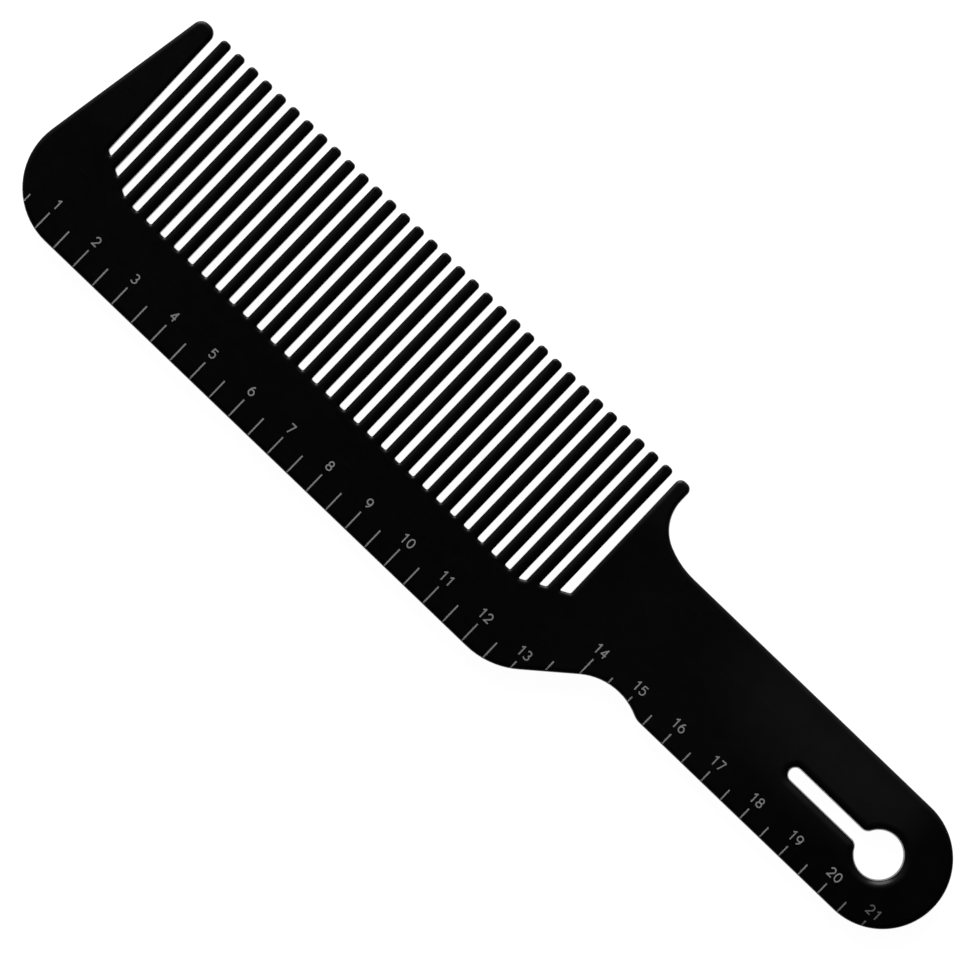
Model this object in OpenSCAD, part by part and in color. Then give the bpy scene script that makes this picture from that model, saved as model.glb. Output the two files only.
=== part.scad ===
// Barber's clipper comb: one flat moulding with a wide toothed blade, a guard tooth at each end
// of the teeth, a straight handle with a finger notch and a keyhole, and a centimetre scale
// printed along the ruler edge.
//
// The drawing runs along x from the nose to the end of the handle and along y from the ruler
// edge to the tooth tips. The part lies flat, printed face up, and its origin is the middle of
// that rectangle on the surface that it lies on.

/* [Overall] */
// Length from the nose to the end of the handle
total_length = 218.2; // [180:0.1:262]
// Width of the blade from the ruler edge to the tooth tips
blade_width = 50.2; // [41:0.2:61]
// Thickness of the spine and the handle
body_t = 4; // [3:0.1:5]

/* [Nose] */
// Radius of the corner between the nose and the ruler edge
nose_r = 13.7; // [8:0.1:16]
// Lean of the nose towards the teeth, in degrees
nose_lean = 9.5; // [0:0.5:12]

/* [Teeth] */
// Number of fine teeth between the two guards
tooth_count = 33; // [20:1:36]
// Distance from one fine tooth to the next
tooth_pitch = 3.55; // [2.9:0.05:4.3]
// Width of a fine tooth
tooth_w = 2.3; // [1.9:0.1:2.8]
// Thickness of every tooth at its tip
tooth_tip_t = 1.8; // [1.2:0.1:2.6]
// Radius of a fine tooth's tip corners, seen from above
tooth_tip_r = 0.85; // [0.3:0.05:0.9]

/* [Spine and guards] */
// Height of the spine from the ruler edge to the bottom of the gaps
spine_h = 15.9; // [13:0.1:19.5]
// Rise of the gap bottoms beside each guard
root_rise = 4.6; // [2:0.1:6]
// Slope of that rise, in degrees
root_slope = 27.5; // [20:0.5:40]
// Width of the front guard at its tip
front_tip_w = 4.15; // [3:0.05:5]
// Width of the heel guard at its tip
heel_tip_w = 3.2; // [2.8:0.1:4.5]
// Radius of the front guard's tip corners
front_tip_r = 2; // [0.8:0.05:2.3]
// Radius of the heel guard's tip corners
heel_tip_r = 1.35; // [0.8:0.05:1.35]
// Width of the first gap at its mouth
front_mouth = 1.5; // [1.2:0.05:2]
// Width of the first gap at its bottom
front_root_gap = 1.05; // [0.8:0.05:1.5]
// Width of the last gap at its mouth
heel_mouth = 1.55; // [1.2:0.05:2]
// Width of the last gap at its bottom
heel_root_gap = 1.8; // [1.2:0.05:2]

/* [Handle] */
// Width of the handle
handle_w = 26.3; // [21.5:0.1:31.6]
// Slope of the heel from the ruler edge up to the handle, in degrees
heel_slope = 39.4; // [30:0.2:50]
// Radius where the ruler edge turns into the heel
heel_r = 15.9; // [10:0.1:19.1]
// Distance from the heel guard's inner side back to where the ruler edge starts to turn
heel_setback = 7; // [4:0.5:12]
// Radius of the finger notch
notch_r = 12; // [9:0.5:15]
// Depth of the finger notch into the handle's lower edge
notch_depth = 1.5; // [1:0.1:2.5]
// Radius of the corner between the finger notch and the handle's lower edge
notch_corner_r = 4; // [1:0.5:8]
// Tighter radius of the throat beside the heel guard
throat_r = 8.1; // [5:0.1:10]
// Wider radius where the throat runs out into the handle's upper edge
fade_r = 17; // [10:0.5:20]

/* [Keyhole] */
// Radius of the round hole that hangs on a peg
hole_r = 4.6; // [3:0.1:5.6]
// Distance from the hole's centre to the end of the handle
hole_inset = 14.1; // [11:0.1:18]
// Width of the slot beside the hole
slot_w = 2.6; // [1.5:0.1:3.2]
// Reach of the slot from the hole's centre
slot_reach = 22.7; // [12:0.1:28]
// Radius of the fillets between the slot and the hole
slot_fillet_r = 1.8; // [1:0.1:2.2]

/* [Printed scale] */
// Distance from the nose to the scale's zero
scale_zero = 0.75; // [0:0.05:3]
// Width of a printed mark
mark_w = 0.26; // [0.2:0.01:0.4]
// Height that the marks on the blade reach above the ruler edge
blade_mark_reach = 4.45; // [3:0.05:5.2]
// Height that the marks on the handle reach above its lower edge
handle_mark_reach = 2.65; // [2:0.05:3.4]
// Clearance between a mark and the edge that it starts from
mark_clearance = 0.4; // [0.2:0.05:0.8]
// Height of the numbers' foot above the ruler edge
blade_number_foot = 5.65; // [5.3:0.05:8]
// Height of the numbers' foot above the handle's lower edge
handle_number_foot = 3.85; // [3.5:0.05:6]
// Height of a printed digit
digit_h = 2; // [1.6:0.1:2.4]
// Width of a printed digit
digit_w = 1.35; // [1:0.05:1.6]
// Distance from one digit of a number to the next
digit_step = 1.58; // [1.55:0.01:1.8]
// Line width of a printed digit
digit_line = 0.26; // [0.18:0.01:0.32]
// Thickness of the print
ink_t = 0.06; // [0.04:0.01:0.1]

/* [Hidden] */
$fn = 72;
arc_step = 3; // degrees between the points of an arc of the outline
digit_arc_step = 20; // degrees between the points of a digit's bend
over = 1; // how far a cutting shape reaches past what it cuts
mid_y = blade_width / 2;

// The nose's leaning end, and the front guard's inner side
nose_line_x = nose_r * (1 - cos(nose_lean));
nose_line_y = nose_r * (1 + sin(nose_lean));
function nose_x(y) = nose_line_x + (y - nose_line_y) * tan(nose_lean);
front_tip_x = nose_x(blade_width) + front_tip_w;
first_tooth_x = front_tip_x + front_mouth + tooth_w / 2;
front_root_x = first_tooth_x - tooth_w / 2 - front_root_gap;

// The heel guard's sides
last_tooth_x = first_tooth_x + (tooth_count - 1) * tooth_pitch;
heel_tip_x = last_tooth_x + tooth_w / 2 + heel_mouth;
heel_root_x = last_tooth_x + tooth_w / 2 + heel_root_gap;
heel_out_x = heel_tip_x + heel_tip_w;

// The line of the gap bottoms, which rises beside each guard
root_top_y = spine_h + root_rise;
rise_run = root_rise / tan(root_slope);
front_knee_x = front_root_x + rise_run;
heel_knee_x = heel_root_x - rise_run;

// The heel's slope, from its turn off the ruler edge to the finger notch
handle_low_y = mid_y - handle_w / 2;
handle_top_y = mid_y + handle_w / 2;
heel_x = heel_tip_x - heel_setback;
slope_start = [heel_x + heel_r * sin(heel_slope), heel_r * (1 - cos(heel_slope))];
slope_end_y = handle_low_y + notch_depth - notch_r * (1 - cos(heel_slope));
slope_end = [slope_start.x + (slope_end_y - slope_start.y) / tan(heel_slope), slope_end_y];
notch_x = slope_end.x + notch_r * sin(heel_slope);
notch_y = handle_low_y + notch_depth - notch_r;
corner_dy = handle_low_y + notch_corner_r - notch_y;
corner_dx = sqrt(pow(notch_r + notch_corner_r, 2) - pow(corner_dy, 2));
corner_angle = atan2(corner_dy, corner_dx);
handle_end_x = total_length - handle_w / 2;

// The throat: a tight arc beside the heel guard, then a wider one into the handle's upper edge.
// Both shrink together where the guard is too short for them.
throat_turn = 24;
throat_full_h = fade_r * (1 - cos(throat_turn)) + throat_r * cos(throat_turn);
throat_room = blade_width - heel_tip_r - handle_top_y;
throat_fit = min(1, throat_room / throat_full_h);
throat_radius = throat_r * throat_fit;
fade_radius = fade_r * throat_fit;
throat_x = heel_out_x + throat_radius;
fade_x = throat_x + (fade_radius - throat_radius) * sin(throat_turn);
throat_y = handle_top_y + throat_full_h * throat_fit;
gusset_x = (heel_out_x + fade_x) / 2;

hole_x = total_length - hole_inset;
slot_end_x = hole_x - slot_reach + slot_w / 2;

// The scale runs to the last whole centimetre that the handle has room for.
centimetre = 10;
scale_end_margin = 6;
least_mark = 0.8;
scale_count = floor((total_length - scale_zero - scale_end_margin) / centimetre);
slope_mid_x = (slope_start.x + slope_end.x) / 2;

// Points along an arc round (x, y), from angle a0 to angle a1
function arc(x, y, rx, ry, a0, a1, step) =
    let (count = ceil(abs(a1 - a0) / step))
    [for (i = [0 : count]) let (a = a0 + (a1 - a0) * i / count) [x + rx * cos(a), y + ry * sin(a)]];

function round_arc(x, y, r, a0, a1) = arc(x, y, r, r, a0, a1, arc_step);

// The outline of everything but the fine teeth, anticlockwise from the nose
nose_corner = round_arc(nose_r, nose_r, nose_r, 180 - nose_lean, 270);
heel_turn = round_arc(heel_x, heel_r, heel_r, 270, 270 + heel_slope);
finger_notch = round_arc(notch_x, notch_y, notch_r, 90 + heel_slope, corner_angle);
notch_corner = round_arc(
    notch_x + corner_dx, notch_y + corner_dy, notch_corner_r, 180 + corner_angle, 270);
handle_end = round_arc(handle_end_x, mid_y, handle_w / 2, -90, 90);
throat_fade = round_arc(fade_x, handle_top_y + fade_radius, fade_radius, 270, 270 - throat_turn);
throat = round_arc(throat_x, throat_y, throat_radius, 270 - throat_turn, 180);
heel_tip_y = blade_width - heel_tip_r;
heel_tip = concat(
    round_arc(heel_out_x - heel_tip_r, heel_tip_y, heel_tip_r, 0, 90),
    round_arc(heel_tip_x + heel_tip_r, heel_tip_y, heel_tip_r, 90, 180));
gap_bottoms = [
    [heel_root_x, root_top_y],
    [heel_knee_x, spine_h],
    [front_knee_x, spine_h],
    [front_root_x, root_top_y]
];
front_corner_r = min(front_tip_r, front_tip_w / 2 - 0.05);
front_tip_y = blade_width - front_corner_r;
front_tip_outer_x = nose_x(front_tip_y) + front_corner_r / cos(nose_lean);
front_tip = concat(
    round_arc(front_tip_x - front_corner_r, front_tip_y, front_corner_r, 0, 90),
    round_arc(front_tip_outer_x, front_tip_y, front_corner_r, 90, 180 - nose_lean));
body_outline = concat(
    nose_corner, heel_turn, finger_notch, notch_corner, handle_end,
    throat_fade, throat, heel_tip, gap_bottoms, front_tip);

// Height of the lower edge above the ruler edge's line, at a place along the comb
function edge_y(x) =
    x < nose_r ? nose_r - sqrt(pow(nose_r, 2) - pow(nose_r - x, 2))
    : x < heel_x ? 0
    : x < slope_start.x ? heel_r - sqrt(pow(heel_r, 2) - pow(x - heel_x, 2))
    : x < slope_end.x ? slope_start.y + (x - slope_start.x) * tan(heel_slope)
    : x < notch_x + notch_r * cos(corner_angle) ? notch_y + sqrt(pow(notch_r, 2) - pow(x - notch_x, 2))
    : x < handle_end_x ? handle_low_y
    : mid_y - sqrt(pow(handle_w / 2, 2) - pow(x - handle_end_x, 2));

// Where a mark starts and ends. Marks on the lower half of the slope follow it, and from its
// upper half on they end on the handle's own line. On the round end a mark keeps its least
// length, and its number rises with it.
function on_slope(x) = x >= slope_start.x && x < slope_end.x;
function mark_low(x) = edge_y(x) + mark_clearance * (on_slope(x) ? 2 : 1);
function mark_high(x) =
    x < slope_start.x ? blade_mark_reach
    : x < slope_mid_x ? edge_y(x) + handle_mark_reach
    : x < handle_end_x ? handle_low_y + handle_mark_reach
    : max(handle_low_y + handle_mark_reach, mark_low(x) + least_mark);
function number_foot(x) =
    x < slope_start.x ? blade_number_foot
    : x < handle_end_x ? handle_low_y + handle_number_foot
    : mark_high(x) + handle_number_foot - handle_mark_reach;

// Moves the drawing so that the origin is the middle of the part
module in_frame()
    translate([-total_length / 2, -blade_width / 2, 0]) children();

// A prism across the whole comb that is full thickness up to start_y and thins evenly on both
// faces from there to the tooth tips
module thinning_towards_tips(start_y) {
    inset = (body_t - tooth_tip_t) / 2;
    rotate([90, 0, 90])
        linear_extrude(total_length)
            polygon([
                [0, 0],
                [start_y, 0],
                [blade_width, inset],
                [blade_width, body_t - inset],
                [start_y, body_t],
                [0, body_t]
            ]);
}

module body_region(corners)
    linear_extrude(body_t)
        intersection() {
            polygon(body_outline);
            polygon(corners);
        }

// The bar along the ruler edge that carries the teeth
module spine()
    color("#101012") in_frame()
        body_region([
            [-over, -over],
            [heel_out_x, -over],
            [heel_out_x, root_top_y],
            [-over, root_top_y]
        ]);

// The wide tooth at the nose
module front_guard()
    color("#161618") in_frame()
        intersection() {
            body_region([
                [-over, root_top_y],
                [first_tooth_x, root_top_y],
                [first_tooth_x, blade_width + over],
                [-over, blade_width + over]
            ]);
            thinning_towards_tips(root_top_y);
        }

// The tooth beside the handle, with the gusset that runs down into the handle's upper edge
module heel_guard()
    color("#161618") in_frame()
        intersection() {
            body_region([
                [last_tooth_x, root_top_y],
                [heel_out_x, root_top_y],
                [heel_out_x, handle_top_y],
                [gusset_x, handle_top_y],
                [gusset_x, blade_width + over],
                [last_tooth_x, blade_width + over]
            ]);
            thinning_towards_tips(handle_top_y);
        }

module tooth_plan(x)
    polygon(concat(
        [[x - tooth_w / 2, spine_h], [x + tooth_w / 2, spine_h]],
        round_arc(x + tooth_w / 2 - tooth_tip_r, blade_width - tooth_tip_r, tooth_tip_r, 0, 90),
        round_arc(x - tooth_w / 2 + tooth_tip_r, blade_width - tooth_tip_r, tooth_tip_r, 90, 180)));

// The parts of the spine that rise above its even height beside the guards
module root_rises() {
    polygon([[front_root_x, spine_h], [front_knee_x, spine_h], [front_root_x, root_top_y]]);
    polygon([[heel_root_x, spine_h], [heel_root_x, root_top_y], [heel_knee_x, spine_h]]);
}

// The fine teeth, each a solid of its own that stands on the line of the gap bottoms
module teeth()
    color("#1b1b1e") in_frame()
        for (i = [0 : tooth_count - 1])
            intersection() {
                linear_extrude(body_t)
                    difference() {
                        tooth_plan(first_tooth_x + i * tooth_pitch);
                        root_rises();
                    }
                thinning_towards_tips(root_top_y);
            }

// The shape that opens the slot out into the round hole between two fillets, each of which
// touches the slot's side and the hole's wall
module slot_flare() {
    centre_dy = slot_w / 2 + slot_fillet_r;
    centre_reach = hole_r + slot_fillet_r;
    centre_dx = sqrt(pow(centre_reach, 2) - pow(centre_dy, 2));
    touch_dy = centre_dy * hole_r / centre_reach;
    difference() {
        translate([hole_x - centre_dx, mid_y - touch_dy]) square([centre_dx, 2 * touch_dy]);
        for (side = [-1, 1])
            translate([hole_x - centre_dx, mid_y + side * centre_dy]) circle(slot_fillet_r);
    }
}

// A round hole to hang the comb by, with a slot that lets it give over a peg
module keyhole() {
    depth = body_t + 2 * over;
    translate([hole_x, mid_y, -over]) cylinder(h = depth, r = hole_r);
    translate([slot_end_x, mid_y, -over]) cylinder(h = depth, r = slot_w / 2);
    translate([slot_end_x, mid_y - slot_w / 2, -over]) cube([hole_x - slot_end_x, slot_w, depth]);
    translate([0, 0, -over]) linear_extrude(depth) slot_flare();
}

// The handle with its neck, from the heel guard to the round end
module handle()
    color("#121214") in_frame()
        difference() {
            body_region([
                [heel_out_x, -over],
                [total_length + over, -over],
                [total_length + over, blade_width + over],
                [gusset_x, blade_width + over],
                [gusset_x, handle_top_y],
                [heel_out_x, handle_top_y]
            ]);
            keyhole();
        }

module printed()
    color("#9a9a9a") in_frame() translate([0, 0, body_t]) linear_extrude(ink_t) children();

module mark(x)
    translate([x - mark_w / 2, mark_low(x)]) square([mark_w, mark_high(x) - mark_low(x)]);

module centimetre_marks()
    printed()
        for (i = [1 : scale_count])
            mark(scale_zero + i * centimetre);

module half_centimetre_marks()
    printed()
        for (i = [1 : scale_count])
            mark(scale_zero + (i - 0.5) * centimetre);

function bend(x, y, rx, ry, a0, a1) = arc(x, y, rx, ry, a0, a1, digit_arc_step);

// The lines of each digit, in a box one wide and one high. A line whose ends meet is a loop.
function digit_lines(d) =
    let (cap = 0.5 * digit_line / (digit_h - digit_line))
    d == 0 ? [bend(0.5, 0.5, 0.5, 0.5, 0, 360)]
    : d == 1 ? [[[0.2, 0.78], [0.64, 1]], [[0.64, 1 + cap], [0.64, -cap]]]
    : d == 2 ? [concat(bend(0.5, 0.7, 0.46, 0.3, 170, -35), [[0.06, 0]]), [[-cap, 0], [1, 0]]]
    : d == 3 ? [bend(0.46, 0.74, 0.42, 0.26, 150, -80), bend(0.46, 0.27, 0.5, 0.27, 80, -150)]
    : d == 4 ? [[[0.74, 1 + cap], [0.74, -cap]], [[0.74, 1], [0.02, 0.3]], [[-cap, 0.3], [1.05, 0.3]]]
    : d == 5 ? [[[0.92, 1], [0.08, 1]], [[0.14, 1], [0.08, 0.5]], bend(0.46, 0.33, 0.5, 0.33, 145, -150)]
    : d == 6 ? [bend(0.5, 0.31, 0.48, 0.31, 0, 360), bend(0.72, 0.34, 0.7, 0.66, 100, 180)]
    : d == 7 ? [[[0, 1], [1, 1]], [[0.94, 1], [0.36, -cap]]]
    : d == 8 ? [bend(0.5, 0.75, 0.4, 0.25, 0, 360), bend(0.5, 0.26, 0.48, 0.26, 0, 360)]
    : [for (line = digit_lines(6)) [for (p = line) [1 - p.x, 1 - p.y]]];

function unit(v) = v / norm(v);

// The sideways direction at a point of a line, longer at a corner so that the line keeps its width
function sideways(before, after) =
    let (along = unit(unit(before) + unit(after)))
    [-along.y, along.x] / (along * unit(before));

function beside(line, i, reach) =
    let (last = len(line) - 1,
         loop = norm(line[0] - line[last]) < digit_line / 100,
         from = i > 0 ? i - 1 : loop ? last - 1 : 0,
         to = i < last ? i + 1 : loop ? 1 : last,
         before = i == from ? line[to] - line[i] : line[i] - line[from],
         after = i == to ? line[i] - line[from] : line[to] - line[i])
    line[i] + sideways(before, after) * reach;

module digit_stroke(line) {
    last = len(line) - 1;
    loop = norm(line[0] - line[last]) < digit_line / 100;
    if (loop)
        difference() {
            polygon([for (i = [0 : last - 1]) beside(line, i, -digit_line / 2)]);
            polygon([for (i = [0 : last - 1]) beside(line, i, digit_line / 2)]);
        }
    else
        polygon(concat(
            [for (i = [0 : last]) beside(line, i, -digit_line / 2)],
            [for (i = [last : -1 : 0]) beside(line, i, digit_line / 2)]));
}

module digit(d)
    translate([-digit_w / 2 + digit_line / 2, digit_line / 2])
        for (line = digit_lines(d))
            digit_stroke([for (p = line) [p.x * (digit_w - digit_line), p.y * (digit_h - digit_line)]]);

module number(n) {
    tens = floor(n / 10);
    half_step = tens > 0 ? digit_step / 2 : 0;
    translate([half_step, 0]) digit(n % 10);
    if (tens > 0)
        translate([-half_step, 0]) digit(tens);
}

module scale_numbers()
    printed()
        for (n = [1 : scale_count]) {
            x = scale_zero + n * centimetre;
            translate([x, number_foot(x)]) number(n);
        }

spine();
front_guard();
teeth();
heel_guard();
handle();
centimetre_marks();
half_centimetre_marks();
scale_numbers();
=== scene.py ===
import math
from collections import namedtuple

import bmesh
import bpy
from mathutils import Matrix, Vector
from mathutils.bvhtree import BVHTree
from mathutils.geometry import delaunay_2d_cdt


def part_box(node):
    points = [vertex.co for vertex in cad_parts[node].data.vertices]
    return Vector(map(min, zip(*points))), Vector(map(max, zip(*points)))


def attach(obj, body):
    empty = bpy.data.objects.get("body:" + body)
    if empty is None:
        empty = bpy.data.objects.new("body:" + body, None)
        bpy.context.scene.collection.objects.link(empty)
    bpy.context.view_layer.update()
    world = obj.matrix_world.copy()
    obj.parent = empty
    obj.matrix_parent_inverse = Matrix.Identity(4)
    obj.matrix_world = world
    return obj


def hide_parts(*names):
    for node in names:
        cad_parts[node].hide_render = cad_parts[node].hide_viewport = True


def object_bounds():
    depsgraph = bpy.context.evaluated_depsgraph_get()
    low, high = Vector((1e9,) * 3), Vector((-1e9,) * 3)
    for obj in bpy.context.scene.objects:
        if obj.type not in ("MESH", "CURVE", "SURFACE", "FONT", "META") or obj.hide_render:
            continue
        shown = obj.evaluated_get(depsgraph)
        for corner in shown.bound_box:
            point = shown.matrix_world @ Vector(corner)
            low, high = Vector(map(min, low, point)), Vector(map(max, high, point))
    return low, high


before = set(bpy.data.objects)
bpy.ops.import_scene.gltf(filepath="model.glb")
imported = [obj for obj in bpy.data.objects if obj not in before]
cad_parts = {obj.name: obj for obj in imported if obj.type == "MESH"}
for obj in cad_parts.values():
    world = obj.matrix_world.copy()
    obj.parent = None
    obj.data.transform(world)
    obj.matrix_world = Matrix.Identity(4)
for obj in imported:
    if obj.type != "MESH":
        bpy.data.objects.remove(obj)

# The comb is drawn in millimetres: x runs from the nose to the end of the handle, y from the
# ruler edge to the tooth tips, and z up from the surface that it lies on. to_frame() moves a
# point of the drawing into the frame. Angles are written in degrees.
MM = 0.001
CAD_LOW, CAD_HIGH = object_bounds()
# Points of a line that are closer than this are one point
SAME_POINT = 1e-4


def to_frame(x, y, z):
    return Vector((CAD_LOW.x + x * MM, CAD_LOW.y + y * MM, CAD_LOW.z + z * MM))


def in_drawing(point):
    return (point - CAD_LOW) / MM


def linked_object(name, data):
    """An object of the scene, with a mesh, a light or a camera as its data."""
    made = bpy.data.objects.new(name, data)
    bpy.context.collection.objects.link(made)
    return made


# ---------------------------------------------------------------- sizes
LENGTH, WIDTH = in_drawing(CAD_HIGH).xy
THICKNESS = in_drawing(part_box("spine")[1]).z
MID_Y = WIDTH / 2

# The nose, which leans towards the teeth
NOSE_R = 13.7
NOSE_LEAN = 9.5
# The row of fine teeth
TOOTH_COUNT = 33
TOOTH_W = 2.3
TOOTH_TIP_R = 0.85
TIP_THICKNESS = 1.8
TEETH_LEFT = in_drawing(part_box("teeth")[0]).x
TEETH_RIGHT = in_drawing(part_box("teeth")[1]).x
TOOTH_PITCH = (TEETH_RIGHT - TEETH_LEFT - TOOTH_W) / (TOOTH_COUNT - 1)
# The line of the gap bottoms, which rises beside each guard
SPINE_H = 15.9
ROOT_TOP_Y = in_drawing(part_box("spine")[1]).y
ROOT_SLOPE = math.tan(math.radians(27.5))
GAP_FILLET_R = 0.28
# A tooth starts this far above the bottom of its gaps
TOOTH_CUT_RISE = 0.5
# The guards at both ends of the row
FRONT_TIP_R = 2
HEEL_TIP_R = 1.35
FRONT_MOUTH = 1.5
FRONT_ROOT_GAP = 1.05
HEEL_MOUTH = 1.55
HEEL_ROOT_GAP = 1.8
HEEL_OUT_X = in_drawing(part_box("spine")[1]).x
FRONT_TIP_X = TEETH_LEFT - FRONT_MOUTH
FRONT_ROOT_X = TEETH_LEFT - FRONT_ROOT_GAP
HEEL_TIP_X = TEETH_RIGHT + HEEL_MOUTH
HEEL_ROOT_X = TEETH_RIGHT + HEEL_ROOT_GAP
# The heel, the finger notch and the handle
HANDLE_W = 26.3
HANDLE_LOW_Y = MID_Y - HANDLE_W / 2
HANDLE_TOP_Y = MID_Y + HANDLE_W / 2
HEEL_R = 15.9
HEEL_SLOPE = 39.4
HEEL_SETBACK = 7
HEEL_X = HEEL_TIP_X - HEEL_SETBACK
SLOPE_START_X = HEEL_X + HEEL_R * math.sin(math.radians(HEEL_SLOPE))
NOTCH_R = 12
NOTCH_DEPTH = 1.5
NOTCH_CORNER_R = 4
THROAT_R = 8.1
FADE_R = 17
THROAT_TURN = 24
# The keyhole: a round hole, and a slot from it towards the nose, whose reach is measured from the
# hole's centre
HOLE_R = 4.6
HOLE_X = LENGTH - 14.1
SLOT_W = 2.6
SLOT_REACH = 22.7
SLOT_END_X = HOLE_X - SLOT_REACH + SLOT_W / 2
SLOT_FILLET_R = 1.8

# The rounded edges' widths, seen from above. A fine tooth is crowned from side to side, up to
# its rounded tip.
BODY_EDGE = 1.0
GAP_EDGE = 0.9
TOOTH_EDGE = 1.1
TOOTH_TIP_EDGE = 0.75
TOOTH_TIP_LENGTH = 2.2
KEYHOLE_EDGE = 1.7
# The shape of a rounding: how deep it is for its width, how steep it gets before it meets the
# wall, and how far the wall leans in from the parting line of the mould
Rounding = namedtuple("Rounding", "shape steepest draft")
BODY_ROUNDING = Rounding(shape=0.5, steepest=math.radians(90), draft=0.05)
KEYHOLE_ROUNDING = Rounding(shape=1, steepest=math.radians(52), draft=0.2)
EDGE_STEPS = 8
# A rounding takes no more than this part of half the thickness
DEEPEST_EDGE = 0.85
# Where a rounding ends in a crease, the wall's own shading starts this far below it
CREASE = 0.1
# How much lower the handle's faces lie at their edges than along their middle, and the length
# over which that starts behind the heel
HANDLE_CROWN = 0.12
CROWN_START = 25
# The length over which the blade's flat faces turn into the taper of the teeth
TAPER_BLEND = 4

REGIONS = ["spine", "front_guard", "teeth", "heel_guard", "handle"]


# ---------------------------------------------------------------- the outline
def nose_x(y):
    start = NOSE_R * (1 - math.cos(math.radians(NOSE_LEAN)))
    start_y = NOSE_R * (1 + math.sin(math.radians(NOSE_LEAN)))
    return start + (y - start_y) * math.tan(math.radians(NOSE_LEAN))


def root_y(x):
    """Height of the gap bottoms at x."""
    front = ROOT_TOP_Y - (x - FRONT_ROOT_X) * ROOT_SLOPE
    heel = ROOT_TOP_Y - (HEEL_ROOT_X - x) * ROOT_SLOPE
    return max(SPINE_H, front, heel)


def root_slope(x):
    """Slope of the line of gap bottoms at x."""
    step = 0.01
    return (root_y(x + step) - root_y(x - step)) / (2 * step)


def oval_arc(x, y, rx, ry, start, end, step):
    """Points of an oval's arc round (x, y), from one angle to another."""
    count = max(1, math.ceil(abs(end - start) / step))
    angles = [math.radians(start + (end - start) * i / count) for i in range(count + 1)]
    return [(x + rx * math.cos(a), y + ry * math.sin(a)) for a in angles]


def arc(x, y, r, start, end, step=5):
    return oval_arc(x, y, r, r, start, end, step)


class Outline:
    """A closed line with the material on its left. Each point has the width of the rounded edge
    there and the region that the stretch after it belongs to."""

    def __init__(self):
        self.points = []
        self.edges = []
        self.regions = []
        self.marks = {}

    def add(self, points, edge, region):
        for x, y in points:
            point = Vector((x, y))
            if self.points and (point - self.points[-1]).length < SAME_POINT:
                self.edges[-1] = edge
                self.regions[-1] = region
                continue
            self.points.append(point)
            self.edges.append(edge)
            self.regions.append(region)

    def mark(self, name):
        """Names the last point, as an end of a cut from one region to the next."""
        self.marks.setdefault(name, []).append(len(self.points) - 1)

    def divide(self, spacing):
        """Adds points so that no stretch is longer than the spacing."""
        points, edges, regions, moved = [], [], [], {}
        for i, point in enumerate(self.points):
            after = (i + 1) % len(self.points)
            gap = self.points[after] - point
            count = max(1, math.ceil(gap.length / spacing))
            moved[i] = len(points)
            for j in range(count):
                part = j / count
                points.append(point + gap * part)
                edges.append(self.edges[i] + (self.edges[after] - self.edges[i]) * part)
                regions.append(self.regions[i])
        self.points, self.edges, self.regions = points, edges, regions
        self.marks = {name: [moved[i] for i in ends] for name, ends in self.marks.items()}

    def inward(self):
        """The direction into the material at each point, longer at a corner."""
        result = []
        for i, point in enumerate(self.points):
            before = (point - self.points[i - 1]).normalized()
            after = (self.points[(i + 1) % len(self.points)] - point).normalized()
            side = Vector((-before.y - after.y, before.x + after.x))
            result.append(side / (1 + before.dot(after)))
        return result


def gap_bottom(outline, right_x, left_x, right_region, left_region):
    """The rounded bottom between two teeth, from the right one to the left one."""
    middle = (right_x + left_x) / 2
    slope = root_slope(middle)
    r = GAP_FILLET_R

    def on_root_line(points):
        return [(x, y + root_y(middle) + slope * (x - middle)) for x, y in points]

    right_arc = arc(right_x - r, r, r, 0, -90, step=22.5)
    left_arc = arc(left_x + r, r, r, -90, -180, step=22.5)
    outline.add(on_root_line(right_arc), GAP_EDGE, right_region)
    outline.add(on_root_line([(middle, 0)]), GAP_EDGE, left_region)
    if right_region != left_region:
        outline.mark("heel")
    outline.add(on_root_line(left_arc), GAP_EDGE, left_region)


def tooth(outline, left_x):
    """One fine tooth, up its right side and down its left side."""
    right_x = left_x + TOOTH_W
    r = TOOTH_TIP_R
    cut_y = max(root_y(left_x), root_y(right_x)) + GAP_FILLET_R + TOOTH_CUT_RISE
    crown_end_y = WIDTH - TOOTH_TIP_LENGTH
    name = f"tooth {left_x:.2f}"
    outline.add([(right_x, cut_y)], TOOTH_EDGE, "teeth")
    outline.mark(name)
    outline.add([(right_x, crown_end_y)], TOOTH_EDGE, "teeth")
    outline.add(arc(right_x - r, WIDTH - r, r, 0, 90, step=15), TOOTH_TIP_EDGE, "teeth")
    outline.add(arc(left_x + r, WIDTH - r, r, 90, 180, step=15), TOOTH_TIP_EDGE, "teeth")
    outline.add([(left_x, crown_end_y)], TOOTH_EDGE, "teeth")
    outline.add([(left_x, cut_y)], TOOTH_EDGE, "spine")
    outline.mark(name)


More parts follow.
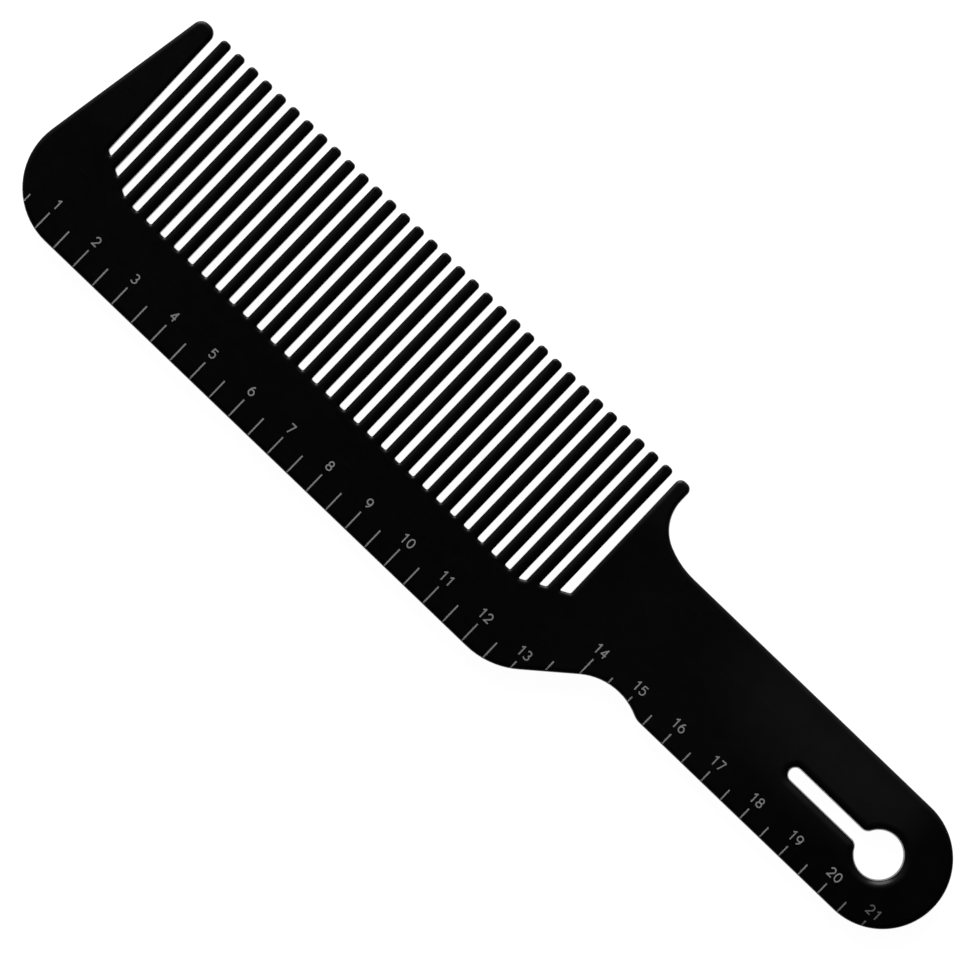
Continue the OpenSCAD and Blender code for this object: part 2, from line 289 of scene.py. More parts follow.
def body_outline():
    """The whole comb's outline, anticlockwise from the front guard's cut on the nose."""
    out = Outline()
    front_cut_y = ROOT_TOP_Y + GAP_FILLET_R + TOOTH_CUT_RISE
    heel_cut_x = (TEETH_RIGHT + HEEL_ROOT_X) / 2
    out.add([(nose_x(front_cut_y), front_cut_y)], BODY_EDGE, "spine")
    out.mark("front")
    out.add(arc(NOSE_R, NOSE_R, NOSE_R, 180 - NOSE_LEAN, 270), BODY_EDGE, "spine")

    # The heel, cut from the ruler edge up to the bottom of the last gap
    cut_angle = 270 + math.degrees(math.asin((heel_cut_x - HEEL_X) / HEEL_R))
    out.add(arc(HEEL_X, HEEL_R, HEEL_R, 270, cut_angle), BODY_EDGE, "spine")
    out.mark("heel")
    out.add(arc(HEEL_X, HEEL_R, HEEL_R, cut_angle, 270 + HEEL_SLOPE), BODY_EDGE, "handle")

    # The slope, the finger notch and the corner where it runs out into the handle
    slope = math.radians(HEEL_SLOPE)
    start = Vector((HEEL_X + HEEL_R * math.sin(slope), HEEL_R * (1 - math.cos(slope))))
    end_y = HANDLE_LOW_Y + NOTCH_DEPTH - NOTCH_R * (1 - math.cos(slope))
    notch_x = start.x + (end_y - start.y) / math.tan(slope) + NOTCH_R * math.sin(slope)
    notch_y = HANDLE_LOW_Y + NOTCH_DEPTH - NOTCH_R
    corner_dy = HANDLE_LOW_Y + NOTCH_CORNER_R - notch_y
    corner_dx = math.sqrt((NOTCH_R + NOTCH_CORNER_R) ** 2 - corner_dy ** 2)
    corner = math.degrees(math.atan2(corner_dy, corner_dx))
    out.add(arc(notch_x, notch_y, NOTCH_R, 90 + HEEL_SLOPE, corner), BODY_EDGE, "handle")
    out.add(
        arc(notch_x + corner_dx, notch_y + corner_dy, NOTCH_CORNER_R, 180 + corner, 270),
        BODY_EDGE, "handle")

    # The handle's round end, its upper edge and the throat
    end_r = HANDLE_W / 2
    out.add(arc(LENGTH - end_r, MID_Y, end_r, -90, 90, step=3), BODY_EDGE, "handle")
    turn = math.radians(THROAT_TURN)
    throat_x = HEEL_OUT_X + THROAT_R
    fade_x = throat_x + (FADE_R - THROAT_R) * math.sin(turn)
    throat_y = HANDLE_TOP_Y + FADE_R * (1 - math.cos(turn)) + THROAT_R * math.cos(turn)
    out.add(
        arc(fade_x, HANDLE_TOP_Y + FADE_R, FADE_R, 270, 270 - THROAT_TURN),
        BODY_EDGE, "handle")
    out.mark("heel guard")
    out.add(arc(throat_x, throat_y, THROAT_R, 270 - THROAT_TURN, 180), BODY_EDGE, "heel_guard")

    # The heel guard, from its outer side over its tip and down to the last gap
    r = HEEL_TIP_R
    out.add(arc(HEEL_OUT_X - r, WIDTH - r, r, 0, 90, step=9), BODY_EDGE, "heel_guard")
    out.add(arc(HEEL_TIP_X + r, WIDTH - r, r, 90, 180, step=9), BODY_EDGE, "heel_guard")
    down = (WIDTH - front_cut_y) / (WIDTH - ROOT_TOP_Y)
    heel_side_x = HEEL_TIP_X + (HEEL_ROOT_X - HEEL_TIP_X) * down
    out.add([(heel_side_x, front_cut_y + TOOTH_CUT_RISE)], BODY_EDGE, "handle")
    out.mark("heel guard")

    # The row of teeth, from the last gap to the first
    gap_bottom(out, HEEL_ROOT_X, TEETH_RIGHT, "handle", "spine")
    for i in reversed(range(TOOTH_COUNT)):
        left_x = TEETH_LEFT + i * TOOTH_PITCH
        tooth(out, left_x)
        next_x = left_x - TOOTH_PITCH + TOOTH_W if i else FRONT_ROOT_X
        gap_bottom(out, left_x, next_x, "spine", "spine")

    # The front guard, up its inner side and down the nose
    front_side_x = FRONT_TIP_X + (FRONT_ROOT_X - FRONT_TIP_X) * down
    out.add([(front_side_x, front_cut_y)], BODY_EDGE, "front_guard")
    out.mark("front")
    r = FRONT_TIP_R
    outer_x = nose_x(WIDTH - r) + r / math.cos(math.radians(NOSE_LEAN))
    out.add(arc(FRONT_TIP_X - r, WIDTH - r, r, 0, 90, step=9), BODY_EDGE, "front_guard")
    out.add(arc(outer_x, WIDTH - r, r, 90, 180 - NOSE_LEAN, step=9), BODY_EDGE, "front_guard")
    out.divide(spacing=4)
    return out


def slot_fillet(side):
    """The centre of the fillet on one side of the slot, and the angle at which it touches the
    round hole's wall."""
    across = side * (SLOT_W / 2 + SLOT_FILLET_R)
    along = math.sqrt((HOLE_R + SLOT_FILLET_R) ** 2 - across ** 2)
    return HOLE_X - along, MID_Y + across, math.degrees(math.atan2(across, -along))


def keyhole_outline():
    """The round hole with its slot, clockwise."""
    out = Outline()
    upper_x, upper_y, upper_angle = slot_fillet(1)
    lower_x, lower_y, lower_angle = slot_fillet(-1)
    r = SLOT_FILLET_R
    for points in (
        arc(HOLE_X, MID_Y, HOLE_R, upper_angle, lower_angle),
        arc(lower_x, lower_y, r, lower_angle + 180, 90),
        arc(SLOT_END_X, MID_Y, SLOT_W / 2, 270, 90, step=9),
        arc(upper_x, upper_y, r, 270, upper_angle + 180)[:-1],
    ):
        out.add(points, KEYHOLE_EDGE, "handle")
    out.divide(spacing=3)
    return out


# ---------------------------------------------------------------- the moulding
def ramp(value):
    """A smooth step from 0 to 1."""
    value = min(1, max(0, value))
    return value * value * (3 - 2 * value)


def half_thickness(x, y):
    """Half the comb's thickness at a point. The teeth thin towards their tips."""
    in_row = x < (TEETH_RIGHT + HEEL_TIP_X) / 2
    start = ROOT_TOP_Y if in_row else HANDLE_TOP_Y
    reach = WIDTH - start - TAPER_BLEND / 2
    past = max(0, y - start)
    run = past ** 2 / (2 * TAPER_BLEND) if past < TAPER_BLEND else past - TAPER_BLEND / 2
    thinning = (THICKNESS - TIP_THICKNESS) / 2 * min(1, run / reach)
    across = (y - MID_Y) / (HANDLE_W / 2)
    crown = HANDLE_CROWN * ramp((x - HEEL_OUT_X) / CROWN_START) * across ** 2
    return THICKNESS / 2 - thinning - min(HANDLE_CROWN, crown)


def face_tilt(x, y):
    """The unscaled normal of the upper face at a point."""
    step = 0.05
    along = (half_thickness(x + step, y) - half_thickness(x - step, y)) / (2 * step)
    across = (half_thickness(x, y + step) - half_thickness(x, y - step)) / (2 * step)
    return Vector((-along, -across, 1))


class Moulding:
    """The upper half of the comb as one mesh, mirrored to make the lower half. Each corner has
    its own shading normal, so that the regions meet without a seam."""

    def __init__(self):
        self.mesh = bmesh.new()
        self.normal = self.mesh.verts.layers.float_vector.new("shade")
        self.rim = self.mesh.verts.layers.float.new("rim")
        self.region = self.mesh.faces.layers.int.new("region")
        self.top = []
        self.top_edges = []
        self.cuts = []

    def vert(self, x, y, z, normal, rim):
        made = self.mesh.verts.new((x, y, z))
        made[self.normal] = normal.normalized()
        made[self.rim] = rim
        return made

    def face(self, verts, region):
        made = self.mesh.faces.new(verts)
        made[self.region] = region
        made.smooth = True

    def edge_of(self, outline, rounding):
        """Builds the side wall and the rounded edge along an outline."""
        shape, steepest, draft = rounding
        rows = []
        for point, inward, width in zip(outline.points, outline.inward(), outline.edges):
            inner = point + inward * width
            half = half_thickness(inner.x, inner.y)
            reach = (width - draft) / math.sin(steepest)
            depth = min(shape * reach, DEEPEST_EDGE * half / (1 - math.cos(steepest)))
            outward = Vector((*(-inward.normalized()), 0))
            tilt = face_tilt(inner.x, inner.y)
            row = [self.vert(point.x, point.y, 0, outward, 1)]
            if steepest < math.radians(90):
                wall = point + inward * draft
                wall_top = half - depth * (1 - math.cos(steepest)) - CREASE
                row.append(self.vert(wall.x, wall.y, wall_top, outward, 1))
            for step in range(EDGE_STEPS + 1):
                turn = steepest * (1 - step / EDGE_STEPS)
                place = point + inward * (width - reach * math.sin(turn))
                normal = outward * math.sin(turn) * depth / reach + tilt * math.cos(turn)
                height = half - depth * (1 - math.cos(turn))
                row.append(self.vert(place.x, place.y, height, normal, math.sin(turn)))
            rows.append(row)
        first = len(self.top)
        self.top += [row[-1] for row in rows]
        for i, row in enumerate(rows):
            after = (i + 1) % len(rows)
            region = REGIONS.index(outline.regions[i])
            self.top_edges.append((first + i, first + after, region))
            for low in range(len(row) - 1):
                quad = [row[low], rows[after][low], rows[after][low + 1], row[low + 1]]
                self.face(quad, region)
        self.cuts += [(first + a, first + b) for a, b in outline.marks.values()]

    def grid(self, spacing):
        """Adds points inside the flat faces, clear of the rounded edges and of the cuts."""
        rims = [vert.co.xy for vert in self.top]
        cell = 2
        clearance = 1
        cut_samples = 60
        cells = {}

        def sample(start, end, shares):
            for share in shares:
                place = start.lerp(end, share)
                key = (int(place.x // cell), int(place.y // cell))
                cells.setdefault(key, []).append(place)

        for a, b, _ in self.top_edges:
            length = (rims[b] - rims[a]).length
            shares = [min(1, i / max(1, length)) for i in range(math.ceil(length) + 1)]
            sample(rims[a], rims[b], shares)
        for a, b in self.cuts:
            sample(rims[a], rims[b], [i / (cut_samples - 1) for i in range(cut_samples)])
        for column in range(int(LENGTH / spacing)):
            for line in range(int(WIDTH / spacing)):
                x, y = (column + 0.5) * spacing, (line + 0.5) * spacing
                near = [
                    place
                    for i in (-1, 0, 1) for j in (-1, 0, 1)
                    for place in cells.get((int(x // cell) + i, int(y // cell) + j), [])
                ]
                if any((place - Vector((x, y))).length < clearance for place in near):
                    continue
                if not self.inside(rims, x, y):
                    continue
                self.top.append(self.vert(x, y, half_thickness(x, y), face_tilt(x, y), 0))

    def inside(self, rims, x, y):
        """Whether a point is on the flat face, by how often a line from it meets the rims."""
        crossings = 0
        for a, b, _ in self.top_edges:
            p, q = rims[a], rims[b]
            if (p.y > y) != (q.y > y) and x < p.x + (y - p.y) * (q.x - p.x) / (q.y - p.y):
                crossings += 1
        return crossings % 2 == 1

    def fill_top(self):
        """Fills the flat faces with triangles. The fill starts from the rounded edges, whose
        material lies on their left, and each region's stops at the cuts."""
        everything = 0
        tolerance = 1e-5
        edges = [(a, b) for a, b, _ in self.top_edges]
        verts, made_edges, triangles, from_verts, from_edges, _ = delaunay_2d_cdt(
            [vert.co.xy for vert in self.top], edges + self.cuts, [], everything, tolerance)
        corners = [self.top[origin[0]] for origin in from_verts]
        fixed = {tuple(sorted(pair)) for pair, origins in zip(made_edges, from_edges) if origins}
        made_from = {origin: i for i, origins in enumerate(from_verts) for origin in origins}
        beside = {}
        for number, triangle in enumerate(triangles):
            for i, a in enumerate(triangle):
                beside[(triangle[i - 1], a)] = number
        region = {}
        for a, b, value in self.top_edges:
            number = beside.get((made_from[a], made_from[b]))
            if number is not None:
                region[number] = value
        front = list(region)
        while front:
            number = front.pop()
            triangle = triangles[number]
            for i, a in enumerate(triangle):
                b = triangle[i - 1]
                other = beside.get((a, b))
                if other is None or other in region or tuple(sorted((a, b))) in fixed:
                    continue
                region[other] = region[number]
                front.append(other)
        for number, value in region.items():
            self.face([corners[i] for i in triangles[number]], value)

    def add_lower_half(self):
        mirrored = {}
        for vert in list(self.mesh.verts):
            if vert.co.z == 0:
                mirrored[vert] = vert
                continue
            normal = vert[self.normal]
            flipped = Vector((normal.x, normal.y, -normal.z))
            mirrored[vert] = self.vert(vert.co.x, vert.co.y, -vert.co.z, flipped, vert[self.rim])
        for face in list(self.mesh.faces):
            self.face([mirrored[vert] for vert in reversed(face.verts)], face[self.region])
        for vert in self.mesh.verts:
            vert.co = to_frame(vert.co.x, vert.co.y, vert.co.z + THICKNESS / 2)

    def piece(self, region):
        """One region as a closed piece, capped where it meets its neighbours."""
        made = bmesh.new()
        rim = made.verts.layers.float.new("rim")
        verts, normals = {}, []
        number = REGIONS.index(region)
        for face in self.mesh.faces:
            if face[self.region] != number:
                continue
            for vert in face.verts:
                if vert not in verts:
                    verts[vert] = made.verts.new(vert.co)
                    verts[vert][rim] = vert[self.rim]
            made.faces.new([verts[vert] for vert in face.verts]).smooth = True
            normals += [vert[self.normal].copy() for vert in face.verts]
        open_edges = [edge for edge in made.edges if edge.is_boundary]
        caps = bmesh.ops.holes_fill(made, edges=open_edges, sides=0)["faces"]
        made.normal_update()
        for cap in caps:
            normals += [cap.normal.copy()] * len(cap.verts)
        mesh = bpy.data.meshes.new("comb_" + region)
        made.to_mesh(mesh)
        made.free()
        mesh.normals_split_custom_set(normals)
        return linked_object("comb_" + region, mesh)


# ---------------------------------------------------------------- the printed scale
# The marks' inner ends and the numbers' feet are measured from the ruler edge on the blade, and
# from the handle's lower side on the handle.
SCALE_ZERO = 0.75
MARK_W = 0.29
BLADE_MARK_REACH = 4.45
HANDLE_MARK_REACH = 2.65
BLADE_NUMBER_FOOT = 5.65
HANDLE_NUMBER_FOOT = 3.85
DIGIT_H = 2
DIGIT_W = 1.35
DIGIT_STEP = 1.58
DIGIT_LINE = 0.26
INK_STANDS = 0.025
INK_SINKS = 0.03
CENTIMETRE = 10
SCALE_END_MARGIN = 6
SCALE_COUNT = int((LENGTH - SCALE_ZERO - SCALE_END_MARGIN) / CENTIMETRE)
# A mark starts this far in from the edge, and further in on the heel's slope. The inner ends of
# the marks follow the edge over the slope's first half, and lie level elsewhere.
MARK_MARGIN = 0.22
SLOPE_MARK_MARGIN = 0.45
HALF_SLOPE = 4.3
MARK_STEPS = 14
# Steps crowd towards the edge, where the mark runs down the rounding
MARK_CROWDING = 1.6


def bend(x, y, rx, ry, start, end):
    """A curved line of a digit."""
    return oval_arc(x, y, rx, ry, start, end, step=12)


def digit_lines(digit):
    """The lines of a digit, in a box one wide and one high."""
    cap = 0.5 * DIGIT_LINE / (DIGIT_H - DIGIT_LINE)
    nine = [[(1 - x, 1 - y) for x, y in line] for line in digit_lines(6)] if digit == 9 else []
    return {
        0: [bend(0.5, 0.5, 0.5, 0.5, 0, 360)],
        1: [[(0.2, 0.78), (0.64, 1)], [(0.64, 1 + cap), (0.64, -cap)]],
        2: [bend(0.5, 0.7, 0.46, 0.3, 170, -35) + [(0.06, 0)], [(-cap, 0), (1, 0)]],
        3: [bend(0.46, 0.74, 0.42, 0.26, 150, -80), bend(0.46, 0.27, 0.5, 0.27, 80, -150)],
        4: [[(0.74, 1 + cap), (0.74, -cap)], [(0.74, 1), (0.02, 0.3)], [(-cap, 0.3), (1.05, 0.3)]],
        5: [
            [(0.92, 1), (0.08, 1)],
            [(0.14, 1), (0.08, 0.5)],
            bend(0.46, 0.33, 0.5, 0.33, 145, -150),
        ],
        6: [bend(0.5, 0.31, 0.48, 0.31, 0, 360), bend(0.72, 0.34, 0.7, 0.66, 100, 180)],
        7: [[(0, 1), (1, 1)], [(0.94, 1), (0.36, -cap)]],
        8: [bend(0.5, 0.75, 0.4, 0.25, 0, 360), bend(0.5, 0.26, 0.48, 0.26, 0, 360)],
        9: nine,
    }[digit]


def stroke(line, width):
    """The four-sided parts of a line of a given width."""
    points = [Vector(p) for p in line]
    loop = (points[0] - points[-1]).length < SAME_POINT
    sides = []
    for i, point in enumerate(points):
        before = points[i - 1] if i else (points[-2] if loop else None)
        after = points[i + 1] if i + 1 < len(points) else (points[1] if loop else None)
        first = (point - before).normalized() if before else (after - point).normalized()
        second = (after - point).normalized() if after else first
        across = Vector((-first.y - second.y, first.x + second.x)) / (1 + first.dot(second))
        sides.append((point - across * width / 2, point + across * width / 2))
    return [(a[0], b[0], b[1], a[1]) for a, b in zip(sides, sides[1:])]


class Print:
    """Ink that lies on the comb's upper face and follows it."""

    def __init__(self, moulding):
        self.surface = BVHTree.FromBMesh(moulding.mesh)
        self.mesh = bmesh.new()

    def on_surface(self, point, rise):
        above = to_frame(point.x, point.y, THICKNESS + 5)
        hit = self.surface.ray_cast(above, Vector((0, 0, -1)))[0]
        return hit + Vector((0, 0, rise * MM))

    def add(self, parts):
        """Joins overlapping four-sided parts into one thin closed patch of ink."""
        inside = 1
        verts = [corner for part in parts for corner in part]
        faces = [list(range(4 * i, 4 * i + 4)) for i in range(len(parts))]
        points, _, triangles, _, _, origins = delaunay_2d_cdt(
            verts, [], faces, inside, SAME_POINT)
        triangles = [triangle for triangle, covered in zip(triangles, origins) if covered]
        upper = [self.mesh.verts.new(self.on_surface(p, INK_STANDS)) for p in points]
        lower = [self.mesh.verts.new(self.on_surface(p, -INK_SINKS)) for p in points]
        sides = set()
        for triangle in triangles:
            self.mesh.faces.new([upper[i] for i in triangle])
            self.mesh.faces.new([lower[i] for i in reversed(triangle)])
            for i, a in enumerate(triangle):
                sides.add((triangle[i - 1], a))
        for a, b in sides:
            if (b, a) not in sides:
                self.mesh.faces.new([upper[b], upper[a], lower[a], lower[b]])

    def piece(self, name):
        bmesh.ops.recalc_face_normals(self.mesh, faces=self.mesh.faces)
        loose = [vert for vert in self.mesh.verts if not vert.link_faces]
        bmesh.ops.delete(self.mesh, geom=loose, context="VERTS")
        mesh = bpy.data.meshes.new(name)
        self.mesh.to_mesh(mesh)
        self.mesh.free()
        return linked_object(name, mesh)


def lower_edge_y(outline, x):
    """Height of the comb's lower edge at x."""
    lowest = WIDTH
    for i, p in enumerate(outline.points):
        q = outline.points[(i + 1) % len(outline.points)]
        if min(p.x, q.x) <= x <= max(p.x, q.x) and p.x != q.x:
            lowest = min(lowest, p.y + (x - p.x) * (q.y - p.y) / (q.x - p.x))
    return lowest


def mark_ends(outline, x):
    """Where a mark starts and ends."""
    edge = lower_edge_y(outline, x)
    slope_middle_x = SLOPE_START_X + HALF_SLOPE
    on_slope = SLOPE_START_X <= x < slope_middle_x + HALF_SLOPE
    low = edge + (SLOPE_MARK_MARGIN if on_slope else MARK_MARGIN)
    if x < SLOPE_START_X:
        return low, BLADE_MARK_REACH
    if x < slope_middle_x:
        return low, edge + HANDLE_MARK_REACH
    return low, HANDLE_LOW_Y + HANDLE_MARK_REACH


def scale_marks(moulding, outline, name, shift):
    ink = Print(moulding)
    for i in range(1, SCALE_COUNT + 1):
        x = SCALE_ZERO + (i - shift) * CENTIMETRE
        low, high = mark_ends(outline, x)
        shares = [(step / MARK_STEPS) ** MARK_CROWDING for step in range(MARK_STEPS + 1)]
        ink.add(stroke([(x, low + (high - low) * share) for share in shares], MARK_W))
    return ink.piece(name)


def scale_numbers(moulding):
    ink = Print(moulding)
    line_length = DIGIT_W - DIGIT_LINE
    line_height = DIGIT_H - DIGIT_LINE
    for number in range(1, SCALE_COUNT + 1):
        x = SCALE_ZERO + number * CENTIMETRE
        foot = BLADE_NUMBER_FOOT if x < SLOPE_START_X else HANDLE_LOW_Y + HANDLE_NUMBER_FOOT
        low = foot + DIGIT_LINE / 2
        digits = [int(c) for c in str(number)]
        for place, digit in enumerate(digits):
            left = x + (place - (len(digits) - 1) / 2) * DIGIT_STEP - line_length / 2
            parts = []
            for line in digit_lines(digit):
                placed = [(left + u * line_length, low + v * line_height) for u, v in line]
                parts += stroke(placed, DIGIT_LINE)
            ink.add(parts)
    return ink.piece("scale_numbers_ink")


# ---------------------------------------------------------------- materials
# The plastic, from its deepest black to the painted sheen on its handle and its rubbed edges, and
# the ink
DEEP_BLACK = (0.0014, 0.0014, 0.0016)
BLACK = (0.0028, 0.0028, 0.003)
GRAIN_BLACK = (0.006, 0.006, 0.0065)
PAINTED_SHEEN_BLACK = (0.026, 0.026, 0.0265)
WORN_BLACK = (0.014, 0.014, 0.0145)
INK = (0.93, 0.93, 0.92)
DULLED_INK = (0.25, 0.25, 0.247)
# Stretches along the comb, in metres of the frame, over which the painted sheen on the handle
# begins, fades and ends, and over which the ink turns duller
SHEEN_START = (0.018, 0.035)
SHEEN_FADE = (0.06, 0.08)
SHEEN_END = (0.093, 0.1)
RUBBED_INK_START = (0.094, 0.0985)
# Where a painted highlight lies on the handle, beside the slot, and half the size of that patch
PAINTED_HIGHLIGHT_PLACE = (0.08, 0.0075, 0.002)
PAINTED_HIGHLIGHT_SIZE = (0.036, 0.0145, 0.05)


class Nodes:
    """Short calls for a material's nodes."""

    def __init__(self, name):
        self.material = bpy.data.materials.new(name)
        self.material.use_nodes = True
        self.tree = self.material.node_tree
        self.shader = self.tree.nodes["Principled BSDF"]
        self.place = self.tree.nodes.new("ShaderNodeTexCoord").outputs["Object"]

    def new(self, kind, **sockets):
        node = self.tree.nodes.new(kind)
        for name, value in sockets.items():
            self.feed(node, name, value)
        return node

    def feed(self, node, name, value):
        socket = node.inputs[name]
        if isinstance(value, bpy.types.NodeSocket):
            self.tree.links.new(value, socket)
        else:
            socket.default_value = value

    def noise(self, size, detail=2, roughness=0.5, stretch=(1, 1, 1)):
        """Noise with features of a given size in millimetres, drawn out along an axis."""
        mapping = self.new("ShaderNodeMapping", Vector=self.place)
        mapping.inputs["Scale"].default_value = stretch
        node = self.new(
            "ShaderNodeTexNoise", Vector=mapping.outputs["Vector"], Scale=1 / (size * MM),
            Detail=detail, Roughness=roughness)
        return node.outputs["Fac"]

    def scale(self, value, low, high, to_low, to_high):
        """A value moved from one range to another, and kept within it."""
        node = self.new("ShaderNodeMapRange", Value=value)
        node.inputs["From Min"].default_value = low
        node.inputs["From Max"].default_value = high
        node.inputs["To Min"].default_value = to_low
        node.inputs["To Max"].default_value = to_high
        return node.outputs["Result"]

    def math(self, operation, a, b):
        node = self.tree.nodes.new("ShaderNodeMath")
        node.operation = operation
        self.feed(node, 0, a)
        self.feed(node, 1, b)
        return node.outputs["Value"]

    def mix(self, amount, a, b):
        """A colour between two others, which are sockets or red, green and blue."""
        first_colour, second_colour, mixed = 6, 7, 2
        node = self.tree.nodes.new("ShaderNodeMix")
        node.data_type = "RGBA"
        self.feed(node, "Factor", amount)
        self.feed(node, first_colour, (*a, 1) if isinstance(a, tuple) else a)
        self.feed(node, second_colour, (*b, 1) if isinstance(b, tuple) else b)
        return node.outputs[mixed]

    def near(self, centre, size):
        """1 at a place of the frame, falling to 0 over an oval round it."""
        shift = self.new("ShaderNodeMapping", Vector=self.place)
        shift.inputs["Location"].default_value = [-c / r for c, r in zip(centre, size)]
        shift.inputs["Scale"].default_value = [1 / r for r in size]
        length = self.tree.nodes.new("ShaderNodeVectorMath")
        length.operation = "LENGTH"
        self.feed(length, 0, shift.outputs["Vector"])
        return self.scale(length.outputs["Value"], 0.15, 1, 1, 0)

    def bump(self, height, distance, strength, below=None):
        """Small relief of a given height in millimetres, on top of coarser relief if any."""
        node = self.new("ShaderNodeBump", Height=height, Distance=distance * MM, Strength=strength)
        if below:
            self.feed(node, "Normal", below)
        return node.outputs["Normal"]


def moulded_plastic():
    """Black moulded plastic: a fine grain, faint scratches along the comb, a painted sheen that
    makes the handle paler, with a painted highlight beside the slot, and edges that are rubbed a
    little paler and smoother."""
    nodes = Nodes("moulded_black_plastic")
    rim = nodes.tree.nodes.new("ShaderNodeAttribute")
    rim.attribute_name = "rim"
    cloud = nodes.noise(18, detail=3)
    blotch = nodes.noise(2.5, detail=4, roughness=0.6)
    grain = nodes.noise(0.16, detail=2)
    scratch = nodes.noise(0.35, detail=2, stretch=(0.03, 1, 1))
    worn = nodes.math(
        "MULTIPLY",
        nodes.scale(rim.outputs["Fac"], 0.35, 1, 0, 1),
        nodes.scale(blotch, 0.4, 0.65, 0.15, 1))

    along = nodes.new("ShaderNodeSeparateXYZ", Vector=nodes.place).outputs["X"]
    # Painted sheen: the handle is painted paler than the blade, fading out towards its end
    handle_sheen = nodes.math(
        "MULTIPLY",
        nodes.scale(along, *SHEEN_START, 0, 0.17),
        nodes.scale(along, *SHEEN_FADE, 1, 0.1))
    # A painted highlight beside the slot, on top of the painted sheen
    slot_highlight = nodes.near(PAINTED_HIGHLIGHT_PLACE, PAINTED_HIGHLIGHT_SIZE)
    before_sheen_end = nodes.scale(along, *SHEEN_END, 1, 0)
    painted_sheen = nodes.math("MULTIPLY", nodes.math("ADD", handle_sheen, slot_highlight), before_sheen_end)
    painted_sheen = nodes.math("MULTIPLY", painted_sheen, nodes.scale(cloud, 0.3, 0.7, 0.7, 1.15))

    base = nodes.mix(nodes.scale(cloud, 0.3, 0.7, 0, 1), DEEP_BLACK, BLACK)
    base = nodes.mix(nodes.scale(grain, 0.35, 0.75, 0, 0.5), base, GRAIN_BLACK)
    # The painted sheen and painted highlight, mixed into the black
    base = nodes.mix(painted_sheen, base, PAINTED_SHEEN_BLACK)
    base = nodes.mix(worn, base, WORN_BLACK)
    roughness = nodes.scale(blotch, 0.3, 0.7, 0.27, 0.34)
    roughness = nodes.math("SUBTRACT", roughness, nodes.math("MULTIPLY", worn, 0.04))
    roughness = nodes.math("ADD", roughness, nodes.scale(scratch, 0.62, 0.75, 0, 0.08))
    nodes.feed(nodes.shader, "Base Color", base)
    nodes.feed(nodes.shader, "Roughness", roughness)
    nodes.feed(nodes.shader, "Specular IOR Level", 0.5)
    ripple = nodes.bump(nodes.noise(7, detail=1), 0.05, 0.25)
    lines = nodes.bump(scratch, 0.006, 0.35, ripple)
    nodes.feed(nodes.shader, "Normal", nodes.bump(grain, 0.012, 0.4, lines))
    return nodes.material


def scale_ink():
    """Pale printed ink, thinner in places so that the plastic dulls it, and rubbed at the end."""
    nodes = Nodes("printed_scale_ink")
    thin = nodes.noise(0.22, detail=3, roughness=0.6)
    patch = nodes.noise(9, detail=2)
    along = nodes.new("ShaderNodeSeparateXYZ", Vector=nodes.place).outputs["X"]
    dulled = nodes.math(
        "ADD",
        nodes.scale(thin, 0.3, 0.7, -0.25, 0.25),
        nodes.scale(patch, 0.3, 0.7, -0.05, 0.2))
    dulled = nodes.math("ADD", dulled, nodes.scale(along, *RUBBED_INK_START, 0, 0.65))
    nodes.feed(nodes.shader, "Base Color", nodes.mix(dulled, INK, DULLED_INK))
    nodes.feed(nodes.shader, "Roughness", nodes.scale(thin, 0.3, 0.7, 0.5, 0.7))
    nodes.feed(nodes.shader, "Specular IOR Level", 0.3)
    nodes.feed(nodes.shader, "Normal", nodes.bump(thin, 0.01, 0.5))
    return nodes.material


# ---------------------------------------------------------------- the pieces
def finish_piece(piece, node, material):
    """Gives a piece its material and its body, and hides the CAD node that it stands for."""
    piece.data.materials.append(material)
    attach(piece, "root")
    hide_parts(node)


def build_comb():
    outline = body_outline()
    moulding = Moulding()
    moulding.edge_of(outline, BODY_ROUNDING)
    moulding.edge_of(keyhole_outline(), KEYHOLE_ROUNDING)
    moulding.grid(spacing=3)
    moulding.fill_top()
    moulding.add_lower_half()
    plastic = moulded_plastic()
    for region in REGIONS:
        finish_piece(moulding.piece(region), region, plastic)
    ink = scale_ink()
    printed = {
        "centimetre_marks": scale_marks(moulding, outline, "centimetre_marks_ink", 0),
        "half_centimetre_marks": scale_marks(moulding, outline, "half_centimetre_marks_ink", 0.5),
        "scale_numbers": scale_numbers(moulding),
    }
    for node, piece in printed.items():
        finish_piece(piece, node, ink)
    moulding.mesh.free()


# ---------------------------------------------------------------- floor, light and camera
# The comb lies aslant under the camera, which looks straight down on it. Sizes from here on are
# in metres of the frame, except the sensor's.
CAMERA_TURN = math.radians(43.85)
CAMERA_HEIGHT = 1.5
CAMERA_AIM = Vector((-0.0039, -0.00114))
VIEW_WIDTH = 0.18165
SENSOR = 36
# The soft light round the comb: its brightest direction, as an angle from the picture's right
# and a height above the horizon, and its strength there and away from there
BRIGHT_TURN = 95
BRIGHT_RISE = 14
BRIGHT_LIGHT = 3.1
DIM_LIGHT = 0.04
SURROUND_COLOUR = (0.05, 0.05, 0.05, 1)
# How well a direction agrees with the brightest one, where the light is dimmest and brightest
DIM_AGREEMENT = 0.22
BRIGHT_AGREEMENT = 0.95
# The large soft box above the picture's top
KEY_TURN = 90
KEY_DISTANCE = 1.6
KEY_HEIGHT = 0.7
KEY_SIZE = 1.2
KEY_RADIANCE = 3
# The floor, which glows so that it stays white, just under the comb
FLOOR_HALF = 4
FLOOR_GAP = 0.00005
FLOOR_GLOW = 0.97


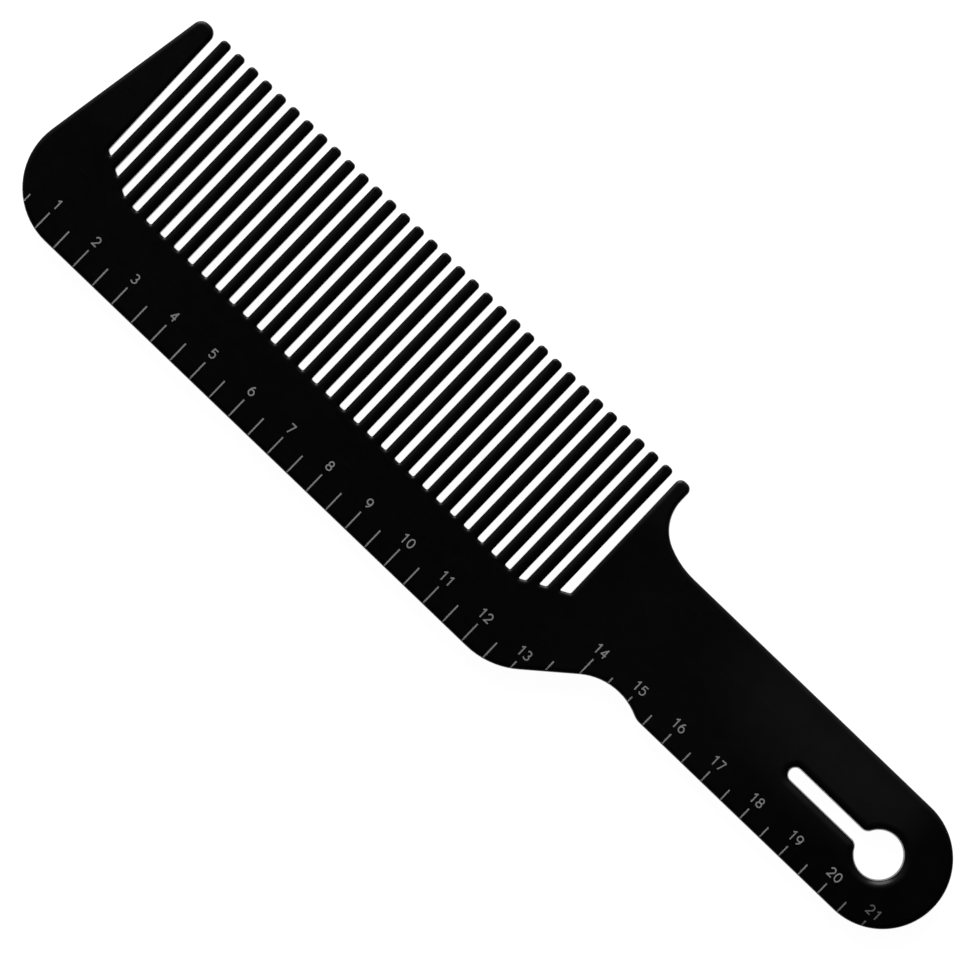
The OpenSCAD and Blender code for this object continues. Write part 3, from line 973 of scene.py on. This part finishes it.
def floor():
    mesh = bpy.data.meshes.new("floor")
    z = CAD_LOW.z - FLOOR_GAP
    corners = [(x * FLOOR_HALF, y * FLOOR_HALF, z) for x, y in ((-1, -1), (1, -1), (1, 1), (-1, 1))]
    mesh.from_pydata(corners, [], [(0, 1, 2, 3)])
    material = bpy.data.materials.new("pale_floor")
    material.use_nodes = True
    shader = material.node_tree.nodes["Principled BSDF"]
    shader.inputs["Base Color"].default_value = (0.8, 0.8, 0.8, 1)
    shader.inputs["Roughness"].default_value = 0.9
    shader.inputs["Emission Color"].default_value = (1, 1, 1, 1)
    shader.inputs["Emission Strength"].default_value = FLOOR_GLOW
    mesh.materials.append(material)
    linked_object("floor", mesh)


def key_light():
    """A square soft light, turned round the comb from the picture's right, aimed at the comb."""
    data = bpy.data.lights.new("key", "AREA")
    data.shape = "SQUARE"
    data.size = KEY_SIZE
    data.energy = KEY_RADIANCE * math.pi * KEY_SIZE ** 2
    made = linked_object("key", data)
    angle = math.radians(KEY_TURN) + CAMERA_TURN
    made.location = (KEY_DISTANCE * math.cos(angle), KEY_DISTANCE * math.sin(angle), KEY_HEIGHT)
    made.rotation_euler = (-made.location).to_track_quat("-Z", "Y").to_euler()


def surround():
    """Soft light from all round, brightest low down at the picture's top, dim overhead."""
    world = bpy.data.worlds.new("surround")
    bpy.context.scene.world = world
    world.use_nodes = True
    tree = world.node_tree
    place = tree.nodes.new("ShaderNodeTexCoord")
    towards = tree.nodes.new("ShaderNodeVectorMath")
    towards.operation = "DOT_PRODUCT"
    turn = CAMERA_TURN + math.radians(BRIGHT_TURN)
    rise = math.radians(BRIGHT_RISE)
    towards.inputs[1].default_value = (
        math.cos(turn) * math.cos(rise), math.sin(turn) * math.cos(rise), math.sin(rise))
    fade = tree.nodes.new("ShaderNodeMapRange")
    tree.links.new(place.outputs["Generated"], towards.inputs[0])
    tree.links.new(towards.outputs["Value"], fade.inputs["Value"])
    fade.inputs["From Min"].default_value = DIM_AGREEMENT
    fade.inputs["From Max"].default_value = BRIGHT_AGREEMENT
    fade.inputs["To Min"].default_value = DIM_LIGHT
    fade.inputs["To Max"].default_value = BRIGHT_LIGHT
    background = tree.nodes["Background"]
    background.inputs["Color"].default_value = SURROUND_COLOUR
    tree.links.new(fade.outputs["Result"], background.inputs["Strength"])


def camera():
    data = bpy.data.cameras.new("camera")
    data.sensor_width = SENSOR
    data.lens = SENSOR * CAMERA_HEIGHT / VIEW_WIDTH
    data.clip_start = 0.1
    data.clip_end = 20
    made = linked_object("camera", data)
    made.location = (CAMERA_AIM.x, CAMERA_AIM.y, CAD_LOW.z + THICKNESS * MM + CAMERA_HEIGHT)
    made.rotation_euler = (0, 0, CAMERA_TURN)
    bpy.context.scene.camera = made


build_comb()
floor()
key_light()
surround()
camera()
bpy.context.scene.view_settings.view_transform = "Standard"
